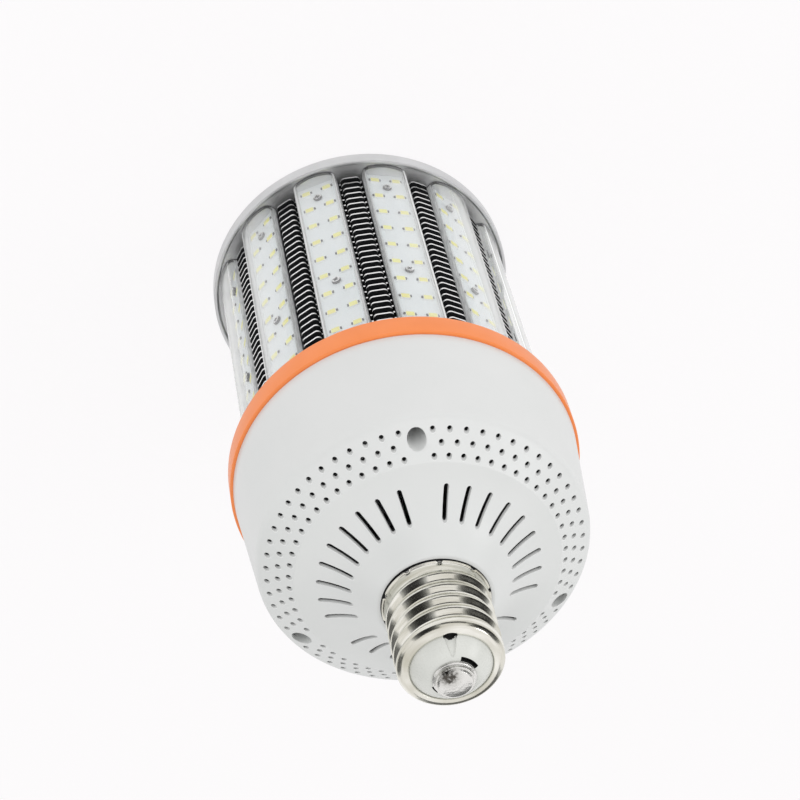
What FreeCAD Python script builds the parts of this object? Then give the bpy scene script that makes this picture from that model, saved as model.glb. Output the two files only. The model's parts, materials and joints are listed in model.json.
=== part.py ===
import FreeCAD, Part
import Sketcher
import math
import os

# Corn LED bulb with a mogul screw base, in millimetres.
# It stands on its head: z = 0 is the flat face of the end cap, and +Z runs
# along the lamp's axis to the centre contact of the screw base.

doc = FreeCAD.newDocument("corn_led_bulb")
sheet = doc.addObject("Spreadsheet::Sheet", "dims")

DRIVING = {
    # end cap
    "cap_radius": 63.8,
    "cap_lip_height": 7.2,
    "cap_lip_width": 1.3,
    "cap_shelf_height": 6.0,
    "cap_shelf_radius": 61.9,
    "cap_edge": 1.2,
    "cap_panel_radius": 54.0,
    "cap_panel_depth": 2.0,
    "cap_screw_circle": 48.0,
    "cap_screw_radius": 2.5,
    "cap_screw_height": 1.4,
    # ring of LED strips
    "strip_turn": 15.73,
    "rail_back": 51.0,
    "rail_thickness": 4.0,
    "board_width": 16.2,
    "board_thickness": 1.1,
    "cover_width": 18.6,
    "cover_height": 6.5,
    "cover_wall": 1.1,
    "cover_corner": 3.0,
    "cover_dome": 20.0,
    "board_screw_first": 16.8,
    "board_screw_step": 64.2,
    "board_screw_radius": 1.9,
    "board_screw_height": 1.2,
    "chip_width": 4.0,
    "chip_length": 3.0,
    "chip_height": 0.8,
    "chip_columns": 9.06,
    "chip_first": 11.2,
    "chip_pitch": 12.8,
    "chip_rows": 10,
    # stacked fin plates
    "fin_first": 9.6,
    "fin_pitch": 4.15,
    "fin_thickness": 0.8,
    "fin_count": 30,
    "fin_bore": 12.0,
    "fin_shoulder": 56.7,
    "fin_tip": 58.0,
    "fin_tip_width": 5.4,
    "fin_clearance": 0.2,
    # plate between the heat sink and the driver housing
    "plate_height": 133.0,
    "plate_thickness": 2.5,
    "plate_radius": 66.0,
    # orange trim ring
    "ring_radius": 68.5,
    "ring_bottom": 132.7,
    "ring_top": 143.2,
    "ring_clearance": 0.2,
    "ring_edge": 0.8,
    # driver housing
    "housing_rim": 67.4,
    "housing_shoulder_radius": 63.0,
    "housing_shoulder_height": 189.8,
    "housing_wall": 2.2,
    "housing_shoulder_round": 5.0,
    "dome_foot_radius": 50.0,
    "dome_foot_height": 199.8,
    "neck_radius": 21.8,
    "neck_height": 218.0,
    "neck_sweep": 42.0,
    "hollow_knee_radius": 32.8,
    "hollow_knee_height": 204.0,
    "spigot_radius": 17.2,
    "spigot_bore": 15.0,
    "spigot_height": 227.0,
    # air holes, slots and screw wells of the housing
    "hole_size": 1.75,
    "hole_row_outer": 59.3,
    "hole_row_middle": 55.44,
    "hole_row_inner": 51.58,
    "slot_inner": 29.6,
    "slot_outer": 42.1,
    "slot_width": 1.75,
    "slot_bevel": 0.5,
    "well_circle": 55.9,
    "well_radius": 3.5,
    "well_floor": 176.0,
    "pillar_radius": 5.5,
    "housing_screw_radius": 2.7,
    "housing_screw_height": 1.9,
    # screw base
    "thread_pitch": 6.35,
    "thread_crest": 19.75,
    "thread_root": 18.0,
    "thread_land": 1.2,
    "thread_first": 225.2,
    "shell_wall": 0.6,
    "collar_radius": 20.4,
    "collar_height": 3.6,
    "shell_end": 253.6,
    "shell_mouth": 15.0,
    "shell_curl": 1.3,
    "insulator_clearance": 0.1,
    "insulator_bore": 2.4,
    "insulator_rim": 0.6,
    "insulator_seat": 247.0,
    "boss_radius": 9.0,
    "insulator_dome": 12.0,
    "boss_height": 258.8,
    "flange_radius": 8.3,
    "flange_thickness": 0.7,
    "contact_radius": 7.2,
    "contact_edge": 261.4,
    "contact_dome": 14.0,
    # driver electronics and leads
    "driver_width": 84.0,
    "driver_height": 58.0,
    "driver_thickness": 1.6,
    "transformer_width": 32.0,
    "transformer_depth": 26.0,
    "transformer_height": 28.0,
    "capacitor_radius": 9.0,
    "capacitor_length": 30.0,
    "choke_radius": 8.0,
    "choke_length": 14.0,
    "component_gap": 2.0,
    "lead_radius": 1.0,
    "neutral_offset": 11.0,
    "neutral_height": 240.0,
    "lead_bend": 4.0,
}

STRIPS = 12
RECESSES = 3
THREAD_TURNS = 5
HOLES_IN_ROW = 60
SLOT_PLACES = 30
HOLE_SIDES = 6
HEAD_SIDES = 8

for row, (alias, number) in enumerate(DRIVING.items(), 1):
    sheet.set("A%d" % row, alias.replace("_", " "))
    sheet.set("B%d" % row, str(number))
    sheet.setAlias("B%d" % row, alias)
doc.recompute()

nodes = []


def value(expression):
    """Number that an expression over the sheet stands for."""
    return float(sheet.evalExpression(expression))


def size(alias):
    """Number in one cell of the sheet."""
    return float(getattr(sheet, alias))


def bind(target, **expressions):
    """Tie properties of an object to the sheet."""
    for name, expression in expressions.items():
        target.setExpression(name, expression)


def place(target, x="0", y="0", z="0", turn=None):
    """Tie the placement of an object to the sheet."""
    target.setExpression("Placement.Base.x", x)
    target.setExpression("Placement.Base.y", y)
    target.setExpression("Placement.Base.z", z)
    if turn is not None:
        target.Placement.Rotation = FreeCAD.Rotation(FreeCAD.Vector(0, 0, 1), 1)
        target.setExpression("Placement.Rotation.Angle", turn)


def node(target, label):
    """Name a finished sub-part and list it for export."""
    target.Label = label
    nodes.append(target)
    return target


def draw_outline(sketch, corners):
    """Closed outline whose corners are tied to the sheet.

    A corner is (x, y), with a straight run to the next corner, or
    (x, y, radius, side), with an arc to it whose centre lies on that side.
    """
    points = [FreeCAD.Vector(value(c[0]), value(c[1]), 0) for c in corners]
    runs = []
    for index, corner in enumerate(corners):
        start = points[index]
        end = points[(index + 1) % len(points)]
        if len(corner) == 2:
            line = sketch.addGeometry(Part.LineSegment(start, end), False)
            runs.append(((line, 1), (line, 2)))
            continue
        radius = value(corner[2])
        chord = end - start
        across = FreeCAD.Vector(-chord.y, chord.x, 0).normalize()
        reach = math.sqrt(radius ** 2 - (chord.Length / 2) ** 2)
        left = corner[3] == "left"
        centre = (start + end) * 0.5 + across * (reach if left else -reach)
        circle = Part.Circle(centre, FreeCAD.Vector(0, 0, 1), radius)
        first, last = (start, end) if left else (end, start)
        arc = Part.ArcOfCircle(circle, circle.parameter(first), circle.parameter(last))
        curve = sketch.addGeometry(arc, False)
        runs.append(((curve, 1), (curve, 2)) if left else ((curve, 2), (curve, 1)))
        rule = sketch.addConstraint(Sketcher.Constraint("Radius", curve, radius))
        sketch.setExpression("Constraints[%d]" % rule, corner[2])
    for index, corner in enumerate(corners):
        finish = runs[index - 1][1]
        start = runs[index][0]
        sketch.addConstraint(Sketcher.Constraint("Coincident", *finish, *start))
        for axis, line, text, number in (
            ("DistanceX", -2, corner[0], points[index].x),
            ("DistanceY", -1, corner[1], points[index].y),
        ):
            if text == "0":
                sketch.addConstraint(Sketcher.Constraint("PointOnObject", *start, line))
                continue
            rule = sketch.addConstraint(Sketcher.Constraint(axis, -1, 1, *start, number))
            sketch.setExpression("Constraints[%d]" % rule, text)


def body_sketch(body, name, role):
    """Sketch on one of a body's own origin planes."""
    plane = [f for f in body.Origin.OriginFeatures if f.Role == role][0]
    sketch = body.newObject("Sketcher::SketchObject", name)
    sketch.AttachmentSupport = (plane, "")
    sketch.MapMode = "FlatFace"
    return sketch


def turned(name, corners):
    """Body turned about the lamp's axis from an outline of (radius, height)."""
    body = doc.addObject("PartDesign::Body", name)
    sketch = body_sketch(body, name + "_outline", "XZ_Plane")
    draw_outline(sketch, corners)
    lathe = body.newObject("PartDesign::Revolution", name + "_turn")
    lathe.Profile = sketch
    lathe.ReferenceAxis = (sketch, ["V_Axis"])
    lathe.Angle = 360
    doc.recompute()
    return body


def prism(sides, radius, height, centre, turn=0.0):
    """Upright prism with a regular section."""
    step = 2 * math.pi / sides
    ring = []
    for corner in range(sides + 1):
        angle = turn + step * (corner % sides)
        ring.append(centre + FreeCAD.Vector(radius * math.cos(angle), radius * math.sin(angle), 0))
    return Part.Face(Part.makePolygon(ring)).extrude(FreeCAD.Vector(0, 0, height))


def around(radius, angle, height):
    """Point at a radius and an angle in degrees about the lamp's axis."""
    turn = math.radians(angle)
    return FreeCAD.Vector(radius * math.cos(turn), radius * math.sin(turn), height)


def group(name, shapes):
    """Several like solids as one sub-part."""
    feature = doc.addObject("Part::Feature", name)
    feature.Shape = Part.makeCompound(shapes)
    return feature


# Expressions that several pieces share.
RAIL_FACE = "dims.rail_back + dims.rail_thickness"
BOARD_FACE = RAIL_FACE + " + dims.board_thickness"
STRIP_LENGTH = "dims.plate_height - dims.cap_shelf_height"
PLATE_TOP = "dims.plate_height + dims.plate_thickness"
LIP_UNDER = "dims.shell_end - dims.shell_wall"


def strip_angle(index):
    """Expression for the angle of a strip about the axis, in degrees."""
    return "dims.strip_turn + %d * %d" % (360 // STRIPS, index)


# End cap: a shallow dish with a raised lip and a sunk panel on the head.
def end_cap():
    cap = turned("end_cap", [
        ("0", "dims.cap_panel_depth"),
        ("dims.cap_panel_radius", "dims.cap_panel_depth"),
        ("dims.cap_panel_radius + dims.cap_panel_depth", "0"),
        ("dims.cap_radius - dims.cap_edge", "0"),
        ("dims.cap_radius", "dims.cap_edge"),
        ("dims.cap_radius", "dims.cap_lip_height"),
        ("dims.cap_radius - dims.cap_lip_width", "dims.cap_lip_height"),
        ("dims.cap_shelf_radius", "dims.cap_shelf_height"),
        ("0", "dims.cap_shelf_height"),
    ])
    node(cap, "end_cap")


# Screw heads, low and many-sided: pan heads seated on a flat.
def head(centre, outward, radius, height):
    shape = prism(HEAD_SIDES, radius, height, FreeCAD.Vector(0, 0, 0))
    turn = FreeCAD.Rotation(FreeCAD.Vector(0, 0, 1), outward)
    shape.Placement = FreeCAD.Placement(centre, turn)
    return shape


def cap_screws():
    down = FreeCAD.Vector(0, 0, -1)
    heads = []
    for index in range(0, STRIPS, STRIPS // RECESSES):
        angle = value(strip_angle(index))
        centre = around(size("cap_screw_circle"), angle, size("cap_panel_depth"))
        heads.append(head(centre, down, size("cap_screw_radius"), size("cap_screw_height")))
    node(group("cap_screws", heads), "cap_screws")


# Fin plate: a twelve-sided ring with a tab in each gap between two strips. A tab has straight sides, and its
# corners are cut off.
def fin_plate():
    """One stamped plate, lying on z = 0."""
    flat = size("rail_back")
    inner = size("cover_width") / 2 + size("fin_clearance")
    shoulder = size("fin_shoulder")
    tip = size("fin_tip")
    half_tip = size("fin_tip_width") / 2
    turn = size("strip_turn")
    gap = 360 / STRIPS
    half_gap = math.radians(gap / 2)
    side = flat * math.sin(half_gap) - inner * math.cos(half_gap)
    corners = []
    for index in range(STRIPS):
        strip = FreeCAD.Rotation(FreeCAD.Vector(0, 0, 1), turn + gap * index)
        tab = FreeCAD.Rotation(FreeCAD.Vector(0, 0, 1), turn + gap * (index + 0.5))
        corners.append(strip.multVec(FreeCAD.Vector(flat, -inner, 0)))
        corners.append(strip.multVec(FreeCAD.Vector(flat, inner, 0)))
        corners.append(tab.multVec(FreeCAD.Vector(shoulder, -side, 0)))
        corners.append(tab.multVec(FreeCAD.Vector(tip, -half_tip, 0)))
        corners.append(tab.multVec(FreeCAD.Vector(tip, half_tip, 0)))
        corners.append(tab.multVec(FreeCAD.Vector(shoulder, side, 0)))
    plate = Part.Face(Part.makePolygon(corners + corners[:1]))
    plate = plate.extrude(FreeCAD.Vector(0, 0, size("fin_thickness")))
    bore = prism(6, size("fin_bore"), size("fin_thickness"), FreeCAD.Vector(0, 0, 0))
    return plate.cut(bore)


def fin_stack():
    plate = fin_plate()
    plates = []
    for index in range(int(size("fin_count"))):
        level = size("fin_first") + index * size("fin_pitch")
        plates.append(plate.translated(FreeCAD.Vector(0, 0, level)))
    node(group("fin_stack", plates), "fin_stack")


# Rails and boards: flat bars round the fin stack, one per strip.
def flat_bar(name, index, back, width, thickness):
    bar = doc.addObject("Part::Box", name)
    bind(bar, Length=thickness, Width=width, Height=STRIP_LENGTH)
    angle = strip_angle(index)
    place(
        bar,
        "cos(%s) * (%s) + sin(%s) * (%s) / 2" % (angle, back, angle, width),
        "sin(%s) * (%s) - cos(%s) * (%s) / 2" % (angle, back, angle, width),
        "dims.cap_shelf_height",
        angle,
    )
    return node(bar, name)


def strips():
    section = doc.addObject("Sketcher::SketchObject", "cover_section")
    draw_outline(section, cover_outline())
    for index in range(STRIPS):
        number = index + 1
        flat_bar("board_rail_%02d" % number, index,
                 "dims.rail_back", "dims.cover_width", "dims.rail_thickness")
        flat_bar("led_board_%02d" % number, index,
                 RAIL_FACE, "dims.board_width", "dims.board_thickness")
        cover = doc.addObject("Part::Extrusion", "strip_cover_%02d" % number)
        cover.Base = section
        cover.DirMode = "Custom"
        cover.Dir = FreeCAD.Vector(0, 0, 1)
        cover.Solid = True
        bind(cover, LengthFwd=STRIP_LENGTH)
        place(cover, z="dims.cap_shelf_height", turn=strip_angle(index))
        node(cover, "strip_cover_%02d" % number)


def cover_outline():
    """Domed clear channel: two feet on the rail, round corners, arched top."""
    outer = cover_arch("0")
    inner = cover_arch("dims.cover_wall")
    feet_out = "dims.cover_width / 2"
    feet_in = "dims.cover_width / 2 - dims.cover_wall"
    return [
        (RAIL_FACE, feet_out),
        (RAIL_FACE, feet_in),
        (inner["side"], feet_in, inner["corner"], "right"),
        (inner["top"], inner["reach"], inner["dome"], "right"),
        (inner["top"], "-(%s)" % inner["reach"], inner["corner"], "right"),
        (inner["side"], "-(%s)" % feet_in),
        (RAIL_FACE, "-(%s)" % feet_in),
        (RAIL_FACE, "-(%s)" % feet_out),
        (outer["side"], "-(%s)" % feet_out, outer["corner"], "left"),
        (outer["top"], "-(%s)" % outer["reach"], outer["dome"], "left"),
        (outer["top"], outer["reach"], outer["corner"], "left"),
        (outer["side"], feet_out),
    ]


def cover_arch(inset):
    """Tangent points of the cover's side, corner and dome, set in by a wall."""
    corner = "(dims.cover_corner - %s)" % inset
    dome = "(dims.cover_dome - %s)" % inset
    corner_centre = "(dims.cover_width / 2 - dims.cover_corner)"
    dome_centre = "(%s + dims.cover_height - dims.cover_dome)" % RAIL_FACE
    spread = "(dims.cover_dome - dims.cover_corner)"
    rise = "sqrt(%s ^ 2 - %s ^ 2)" % (spread, corner_centre)
    return {
        "corner": corner,
        "dome": dome,
        "side": "%s + %s" % (dome_centre, rise),
        "reach": "%s * %s / %s" % (corner_centre, dome, spread),
        "top": "%s + %s * %s / %s" % (dome_centre, rise, dome, spread),
    }


def board_screws():
    face = value(BOARD_FACE)
    heads = []
    for index in range(STRIPS):
        angle = value(strip_angle(index))
        for step in range(2):
            level = size("board_screw_first") + step * size("board_screw_step")
            outward = around(1, angle, 0)
            centre = around(face, angle, level)
            heads.append(head(centre, outward, size("board_screw_radius"), size("board_screw_height")))
    node(group("board_screws", heads), "board_screws")


def led_chips():
    """Two columns of chips on each board, all in one sub-part."""
    width = size("chip_width")
    length = size("chip_length")
    face = value(BOARD_FACE)
    chips = []
    for index in range(STRIPS):
        for side in (-1, 1):
            for row in range(int(size("chip_rows"))):
                level = size("chip_first") + row * size("chip_pitch")
                chip = Part.makeBox(size("chip_height"), width, length)
                shift = side * size("chip_columns") / 2 - width / 2
                chip.translate(FreeCAD.Vector(face, shift, level - length / 2))
                chip.rotate(FreeCAD.Vector(0, 0, 0), FreeCAD.Vector(0, 0, 1), value(strip_angle(index)))
                chips.append(chip)
    node(group("led_chips", chips), "led_chips")


# Plate that carries the rails and closes the driver housing.
def mount_plate():
    plate = doc.addObject("Part::Cylinder", "mount_plate")
    bind(plate, Radius="dims.plate_radius", Height="dims.plate_thickness")
    place(plate, z="dims.plate_height")
    node(plate, "mount_plate")


def trim_ring():
    bore = "dims.plate_radius + dims.ring_clearance"
    ring = turned("trim_ring", [
        (bore, "dims.ring_bottom"),
        ("dims.ring_radius - dims.ring_edge", "dims.ring_bottom"),
        ("dims.ring_radius", "dims.ring_bottom + dims.ring_edge"),
        ("dims.ring_radius", "dims.ring_top"),
        (bore, "dims.ring_top"),
    ])
    node(ring, "trim_ring")


# Driver housing: a moulded bell with a tapered wall, a round shoulder that
# carries the air holes, a swept dome with the slots and a neck for the base.
def housing_form():
    """Outside of the housing as a full solid."""
    return turned("housing_form", [
        ("0", PLATE_TOP),
        ("dims.plate_radius", PLATE_TOP),
        ("dims.plate_radius", "dims.ring_top"),
        ("dims.housing_rim", "dims.ring_top"),
        ("dims.housing_shoulder_radius", "dims.housing_shoulder_height"),
        ("dims.dome_foot_radius", "dims.dome_foot_height", "dims.neck_sweep", "right"),
        ("dims.neck_radius", "dims.neck_height"),
        ("dims.spigot_radius", "dims.neck_height"),
        ("dims.spigot_radius", "dims.spigot_height"),
        ("0", "dims.spigot_height"),
    ])


def housing_hollow():
    """Space inside the housing."""
    wall = "dims.housing_wall"
    return turned("housing_hollow", [
        ("0", PLATE_TOP),
        ("dims.plate_radius - %s" % wall, PLATE_TOP),
        ("dims.plate_radius - %s" % wall, "dims.ring_top"),
        ("dims.housing_shoulder_radius - %s" % wall, "dims.housing_shoulder_height - %s / 2" % wall),
        ("dims.dome_foot_radius - %s / 2" % wall, "dims.dome_foot_height - %s" % wall),
        ("dims.hollow_knee_radius", "dims.hollow_knee_height"),
        ("dims.spigot_bore", "dims.neck_height - %s" % wall),
        ("dims.spigot_bore", "dims.spigot_height"),
        ("0", "dims.spigot_height"),
    ])


def rounded(body, radius, level, expression):
    """Body with the circular edge of one radius and height rounded off."""
    base = body.Tip
    edges = []
    for number, edge in enumerate(base.Shape.Edges, 1):
        curve = edge.Curve
        if isinstance(curve, Part.Circle) and abs(curve.Radius - radius) < 0.01:
            if abs(curve.Center.z - level) < 0.01:
                edges.append("Edge%d" % number)
    fillet = body.newObject("PartDesign::Fillet", body.Name + "_round")
    fillet.Base = (base, edges)
    bind(fillet, Radius=expression)
    body.Tip = fillet
    doc.recompute()
    return body


def well_centres(level):
    """Centres of the screw wells at a height."""
    step = 360 / RECESSES
    return [around(size("well_circle"), 90 + step * index, level) for index in range(RECESSES)]


def air_openings():
    """Cutters for the three rows of holes and the ring of slots."""
    bottom = size("ring_top")
    height = size("neck_height") - bottom
    step = 2 * math.pi / HOLE_SIDES
    half = size("hole_size") / 2 * math.sqrt(step / math.sin(step))
    wells = well_centres(bottom)
    cutters = []
    for row, offset in (("outer", 0.0), ("middle", 0.5), ("inner", 0.0)):
        circle = size("hole_row_" + row)
        for index in range(HOLES_IN_ROW):
            angle = 90 + 360 / HOLES_IN_ROW * (index + offset)
            centre = around(circle, angle, bottom)
            if min(centre.distanceToPoint(well) for well in wells) < size("pillar_radius"):
                continue
            cutters.append(prism(HOLE_SIDES, half, height, centre, math.radians(angle)))
    slot = slot_cutter(bottom, height)
    for index in range(SLOT_PLACES):
        if index % (SLOT_PLACES // RECESSES) == 0:
            continue
        turned_slot = slot.copy()
        turn = 90 + 360 / SLOT_PLACES * index
        turned_slot.rotate(FreeCAD.Vector(0, 0, 0), FreeCAD.Vector(0, 0, 1), turn)
        cutters.append(turned_slot)
    return cutters


def slot_cutter(bottom, height):
    """Upright cutter for one slot with chamfered ends that points along +X."""
    half = size("slot_width") / 2
    bevel = size("slot_bevel")
    inner = size("slot_inner")
    outer = size("slot_outer")
    corners = []
    for along, aside in (
        (inner, bevel - half), (inner + bevel, -half),
        (outer - bevel, -half), (outer, bevel - half),
        (outer, half - bevel), (outer - bevel, half),
        (inner + bevel, half), (inner, half - bevel),
    ):
        corners.append(FreeCAD.Vector(along, aside, bottom))
    outline = Part.makePolygon(corners + corners[:1])
    return Part.Face(outline).extrude(FreeCAD.Vector(0, 0, height))


def upright_rods(radius, bottom, top):
    """One round rod on the axis of each screw well."""
    up = FreeCAD.Vector(0, 0, 1)
    return [Part.makeCylinder(radius, top - bottom, foot, up) for foot in well_centres(bottom)]


def driver_housing():
    form = housing_form()
    rounded(form, size("housing_shoulder_radius"), size("housing_shoulder_height"),
            "dims.housing_shoulder_round")
    skin = doc.addObject("Part::Cut", "housing_skin")
    skin.Base = form
    skin.Tool = housing_hollow()
    top = size("spigot_height")
    pillars = doc.addObject("Part::Common", "housing_pillars")
    pillars.Base = form
    pillars.Tool = group("pillar_rods", upright_rods(size("pillar_radius"), value(PLATE_TOP), top))
    joined = doc.addObject("Part::Fuse", "housing_joined")
    joined.Base = skin
    joined.Tool = pillars
    wells = upright_rods(size("well_radius"), size("well_floor"), top)
    housing = doc.addObject("Part::Cut", "driver_housing")
    housing.Base = joined
    housing.Tool = group("housing_openings", air_openings() + wells)
    node(housing, "driver_housing")


def housing_screws():
    heads = []
    up = FreeCAD.Vector(0, 0, 1)
    for centre in well_centres(size("well_floor")):
        heads.append(head(centre, up, size("housing_screw_radius"), size("housing_screw_height")))
    node(group("housing_screws", heads), "housing_screws")


# Screw base: rolled shell with a collar, insulator and centre contact.
def screw_shell():
    bore = "dims.thread_root - dims.shell_wall"
    outline = [
        (bore, "dims.neck_height"),
        ("dims.collar_radius", "dims.neck_height"),
        ("dims.collar_radius", "dims.neck_height + dims.collar_height / 2"),
        ("dims.thread_root", "dims.neck_height + dims.collar_height"),
    ]
    for turn in range(THREAD_TURNS):
        crest = "dims.thread_first + %d * dims.thread_pitch" % turn
        half = "(dims.thread_land / 2)"
        flank = "(dims.thread_land / 2 + dims.thread_crest - dims.thread_root)"
        if turn:
            outline.append(("dims.thread_root", "%s - %s" % (crest, flank)))
        outline.append(("dims.thread_crest", "%s - %s" % (crest, half)))
        outline.append(("dims.thread_crest", "%s + %s" % (crest, half)))
        if turn < THREAD_TURNS - 1:
            outline.append(("dims.thread_root", "%s + %s" % (crest, flank)))
    outline.append(("dims.shell_mouth", "dims.shell_end"))
    outline.append(("dims.shell_mouth", LIP_UNDER))
    outline.append((bore, "%s - dims.shell_curl" % LIP_UNDER))
    node(turned("screw_shell", outline), "screw_shell")


def base_insulator():
    bore = "dims.thread_root - dims.shell_wall"
    side = "%s - dims.insulator_clearance" % bore
    slope = "dims.shell_curl / (%s - dims.shell_mouth)" % bore
    insulator = turned("base_insulator", [
        ("dims.insulator_bore", "dims.insulator_seat"),
        (side, "dims.insulator_seat"),
        (side, "%s - (%s - dims.shell_mouth) * %s" % (LIP_UNDER, side, slope)),
        ("dims.shell_mouth", LIP_UNDER, "dims.insulator_dome", "left"),
        ("dims.boss_radius", "dims.boss_height - dims.insulator_rim"),
        ("dims.boss_radius", "dims.boss_height"),
        ("dims.insulator_bore", "dims.boss_height"),
    ])
    node(insulator, "base_insulator")


def centre_contact():
    crown = "dims.contact_edge + dims.contact_dome - sqrt(dims.contact_dome ^ 2 - dims.contact_radius ^ 2)"
    contact = turned("centre_contact", [
        ("0", "dims.boss_height"),
        ("dims.flange_radius", "dims.boss_height"),
        ("dims.flange_radius", "dims.boss_height + dims.flange_thickness"),
        ("dims.contact_radius", "dims.boss_height + 2 * dims.flange_thickness"),
        ("dims.contact_radius", "dims.contact_edge", "dims.contact_dome", "left"),
        ("0", crown),
    ])
    node(contact, "centre_contact")


# Driver: a board that stands on the plate, its large components and the leads.
def driver():
    board = doc.addObject("Part::Box", "driver_board")
    bind(board, Length="dims.driver_thickness", Width="dims.driver_width", Height="dims.driver_height")
    place(board, "-dims.driver_thickness / 2", "-dims.driver_width / 2", PLATE_TOP)
    node(board, "driver_board")

    face = "dims.driver_thickness / 2"
    transformer = doc.addObject("Part::Box", "transformer")
    bind(transformer, Length="dims.transformer_depth", Width="dims.transformer_width",
         Height="dims.transformer_height")
    place(transformer, face, "-dims.transformer_width / 2", PLATE_TOP)
    node(transformer, "transformer")

    for name, part, side in (("bulk_capacitor", "capacitor", "+"), ("line_choke", "choke", "-")):
        can = doc.addObject("Part::Cylinder", name)
        bind(can, Radius="dims.%s_radius" % part, Height="dims.%s_length" % part)
        can.Placement.Rotation = FreeCAD.Rotation(FreeCAD.Vector(0, 1, 0), 90)
        room = "dims.%s_radius + dims.component_gap" % part
        offset = "%s (dims.transformer_width / 2 + %s)" % (side, room)
        place(can, face, "0 " + offset, "%s + %s" % (PLATE_TOP, room))
        node(can, name)


def leads():
    top = "%s + dims.driver_height" % PLATE_TOP
    live = doc.addObject("Part::Cylinder", "live_lead")
    bind(live, Radius="dims.lead_radius", Height="dims.boss_height - (%s)" % top)
    place(live, z=top)
    node(live, "live_lead")

    offset = size("neutral_offset")
    rise = size("neutral_height")
    bend = size("lead_bend")
    bore = size("thread_root") - size("shell_wall")
    reach = math.sqrt(bore ** 2 - size("lead_radius") ** 2)
    foot = FreeCAD.Vector(0, offset, value(top))
    knee = FreeCAD.Vector(0, offset, rise - bend)
    middle = knee + FreeCAD.Vector(0, bend * (1 - math.sqrt(0.5)), bend * math.sqrt(0.5))
    turn_end = FreeCAD.Vector(0, offset + bend, rise)
    finish = FreeCAD.Vector(0, reach, rise)
    path = Part.Wire([
        Part.LineSegment(foot, knee).toShape(),
        Part.Arc(knee, middle, turn_end).toShape(),
        Part.LineSegment(turn_end, finish).toShape(),
    ])
    section = Part.Wire(Part.Circle(foot, FreeCAD.Vector(0, 0, 1), size("lead_radius")).toShape())
    neutral = doc.addObject("Part::Feature", "neutral_lead")
    neutral.Shape = path.makePipeShell([section], True, False)
    node(neutral, "neutral_lead")


def check():
    """Stop if an object failed or a sub-part is not one or more valid solids."""
    for item in doc.Objects:
        if "Invalid" in item.State or "Error" in item.State:
            raise RuntimeError("object failed: %s %s" % (item.Label, item.State))
    for item in nodes:
        shape = item.Shape
        if shape.isNull() or not shape.isValid() or not shape.Solids:
            raise RuntimeError("bad shape: %s" % item.Label)


end_cap()
cap_screws()
fin_stack()
strips()
board_screws()
led_chips()
mount_plate()
trim_ring()
driver_housing()
housing_screws()
screw_shell()
base_insulator()
centre_contact()
driver()
leads()
doc.recompute()
check()

os.makedirs("parts", exist_ok=True)
for item in nodes:
    item.Shape.exportStep("parts/%s.step" % item.Label)
print("%d sub-parts written" % len(nodes))
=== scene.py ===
import json
import math
import bpy
import numpy as np
from mathutils import Matrix, Vector, noise as lumpiness

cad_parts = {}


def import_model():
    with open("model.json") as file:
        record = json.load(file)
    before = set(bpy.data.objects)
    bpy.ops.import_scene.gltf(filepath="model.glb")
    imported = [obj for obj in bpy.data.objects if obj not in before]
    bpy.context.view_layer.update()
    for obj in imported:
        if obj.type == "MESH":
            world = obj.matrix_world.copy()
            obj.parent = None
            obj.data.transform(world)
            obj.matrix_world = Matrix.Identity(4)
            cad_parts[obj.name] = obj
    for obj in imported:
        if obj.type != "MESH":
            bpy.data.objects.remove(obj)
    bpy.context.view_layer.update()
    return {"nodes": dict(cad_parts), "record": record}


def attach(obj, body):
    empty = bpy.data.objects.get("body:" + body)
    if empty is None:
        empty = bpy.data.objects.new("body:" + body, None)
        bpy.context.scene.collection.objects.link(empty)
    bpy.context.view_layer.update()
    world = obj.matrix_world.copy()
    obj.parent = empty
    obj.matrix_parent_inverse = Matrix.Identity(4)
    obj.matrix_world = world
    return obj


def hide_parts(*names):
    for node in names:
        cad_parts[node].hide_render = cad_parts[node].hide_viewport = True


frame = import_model()

# Sizes are in millimetres, as in the solids, and become metres when a mesh is made.
MM = 0.001
BODY = "root"
STRIPS = 12
STRIP_STEP = 30.0
STRIP_TURN = 15.73
ON_AXIS = 1e-6
LUMP_CENTRE = (-2.3, 4.3, 262.4)

materials = {}


def strip_angle(index):
    """Direction of a strip, or of a gap where the index is a half, in degrees."""
    return STRIP_TURN + STRIP_STEP * index


# Mesh helpers.

def placed(name, data):
    """New object in the scene."""
    thing = bpy.data.objects.new(name, data)
    bpy.context.scene.collection.objects.link(thing)
    return thing


def piece(name, points, faces, finishes, smooth, node, finish=None, slot=None):
    """Object from points in millimetres, riding on the lamp in place of a solid.

    The slot argument is not used.
    """
    mesh = bpy.data.meshes.new(name)
    mesh.from_pydata([tuple(float(c) * MM for c in p) for p in points], [], faces)
    mesh.validate()
    mesh.update()
    if smooth:
        mesh.shade_smooth()
        mesh.set_sharp_from_angle(angle=math.radians(smooth))
    for item in finishes:
        mesh.materials.append(materials[item])
    if finish:
        mesh.polygons.foreach_set("material_index", finish)
    thing = placed(name, mesh)
    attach(thing, BODY)
    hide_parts(node)


def spun(x, y, angle):
    """Point in the plane turned by an angle in radians."""
    c, s = math.cos(angle), math.sin(angle)
    return x * c - y * s, x * s + y * c


def apart(first, second, full=360.0):
    """Smallest difference between two directions, in the parts that a full turn has."""
    return abs((first - second + full / 2) % full - full / 2)


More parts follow.
